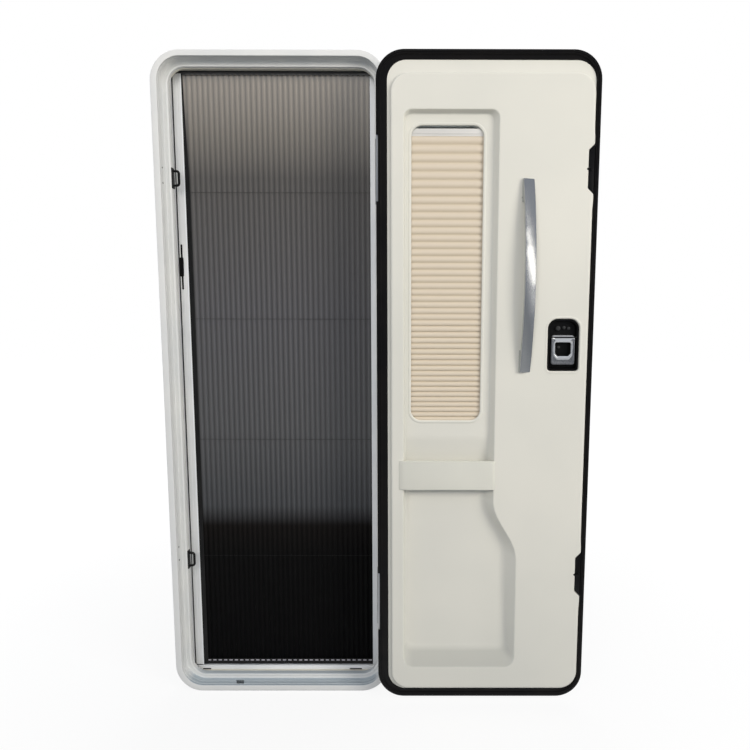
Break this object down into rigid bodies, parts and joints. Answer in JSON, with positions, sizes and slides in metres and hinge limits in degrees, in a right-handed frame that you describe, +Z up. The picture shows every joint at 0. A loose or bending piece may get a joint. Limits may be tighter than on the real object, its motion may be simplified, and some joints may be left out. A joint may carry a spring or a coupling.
{
  "type": "caravan entry door",
  "caption": "Caravan entry door with its frame, pleated fly screen, insulated leaf folded open, window with pleated blind, moulded pocket and bin recess, lock, grab handle and latches.",
  "frame": {"origin": "on the flat back of the outer flange, at mid width and half way up its bottom band", "axes": "+X right seen from outside, +Y through the wall into the caravan, +Z up"},
  "size_m": [1.194, 0.1671, 1.824],
  "materials": {
    "frame_coat": "white powder coat",
    "cream_moulding": "fine moulded",
    "dark_trim": "moulded",
    "black_steel": "black coated",
    "pin_steel": "drawn",
    "screen_net": "pleated net",
    "outer_gloss": "gloss white",
    "edge_aluminium": "satin",
    "black_seal": "ribbed",
    "cream_panel": "fine grain, thermoformed",
    "clear_pane": "clear acrylic",
    "hinge_aluminium": "satin",
    "brushed_handle": "brushed along its length",
    "black_plastic": "fine moulded",
    "blind_white": "moulded",
    "blind_cloth": "pleated polyester",
    "paddle_metal": "satin plated"
  },
  "bodies": {
    "frame": {"outer_frame": "frame_coat", "inner_frame": "cream_moulding", "screen_top_track": "dark_trim", "screen_bottom_track": "frame_coat", "screen_cassette": "frame_coat", "screen_lock_jamb": "frame_coat", "upper_striker": "black_steel", "lower_striker": "black_steel", "upper_hinge_frame_leaf": "frame_coat", "lower_hinge_frame_leaf": "frame_coat", "upper_hinge_pin": "pin_steel", "lower_hinge_pin": "pin_steel"},
    "screen": {"screen_bar": "frame_coat", "fly_screen_mesh": "screen_net"},
    "leaf": {"outer_skin": "outer_gloss", "edge_profile": "edge_aluminium", "door_seal": "black_seal", "inner_panel": "cream_panel", "window_pane": "clear_pane", "upper_hinge_door_leaf": "hinge_aluminium", "lower_hinge_door_leaf": "hinge_aluminium", "storage_rail": "cream_panel", "grab_handle": "brushed_handle", "lock_bezel": "black_plastic", "upper_latch": "black_plastic", "lower_latch": "black_plastic", "blind_frame": "cream_moulding"},
    "blind": {"blind_rail": "blind_white", "blind_fabric": "blind_cloth"},
    "paddle": {"lock_paddle": "paddle_metal"}
  },
  "joints": [
    {"name": "door_hinge", "type": "hinge", "parent": "frame", "child": "leaf", "pos_m": [0.292, -0.019, 0.898], "axis": [0, 0, 1], "range_deg": [-180, 0]},
    {"name": "screen_slide", "type": "slide", "parent": "frame", "child": "screen", "axis": [1, 0, 0], "range_m": [0, 0.49], "deforming": ["fly_screen_mesh"]},
    {"name": "blind_slide", "type": "slide", "parent": "leaf", "child": "blind", "axis": [0, 0, 1], "range_m": [-0.7, 0], "deforming": ["blind_fabric"]},
    {"name": "paddle_pivot", "type": "hinge", "parent": "leaf", "child": "paddle", "pos_m": [0.795, -0.059, 1.053], "axis": [-1, 0, 0], "range_deg": [0, 20], "stiffness_Nm_per_rad": 0.3}
  ]
}
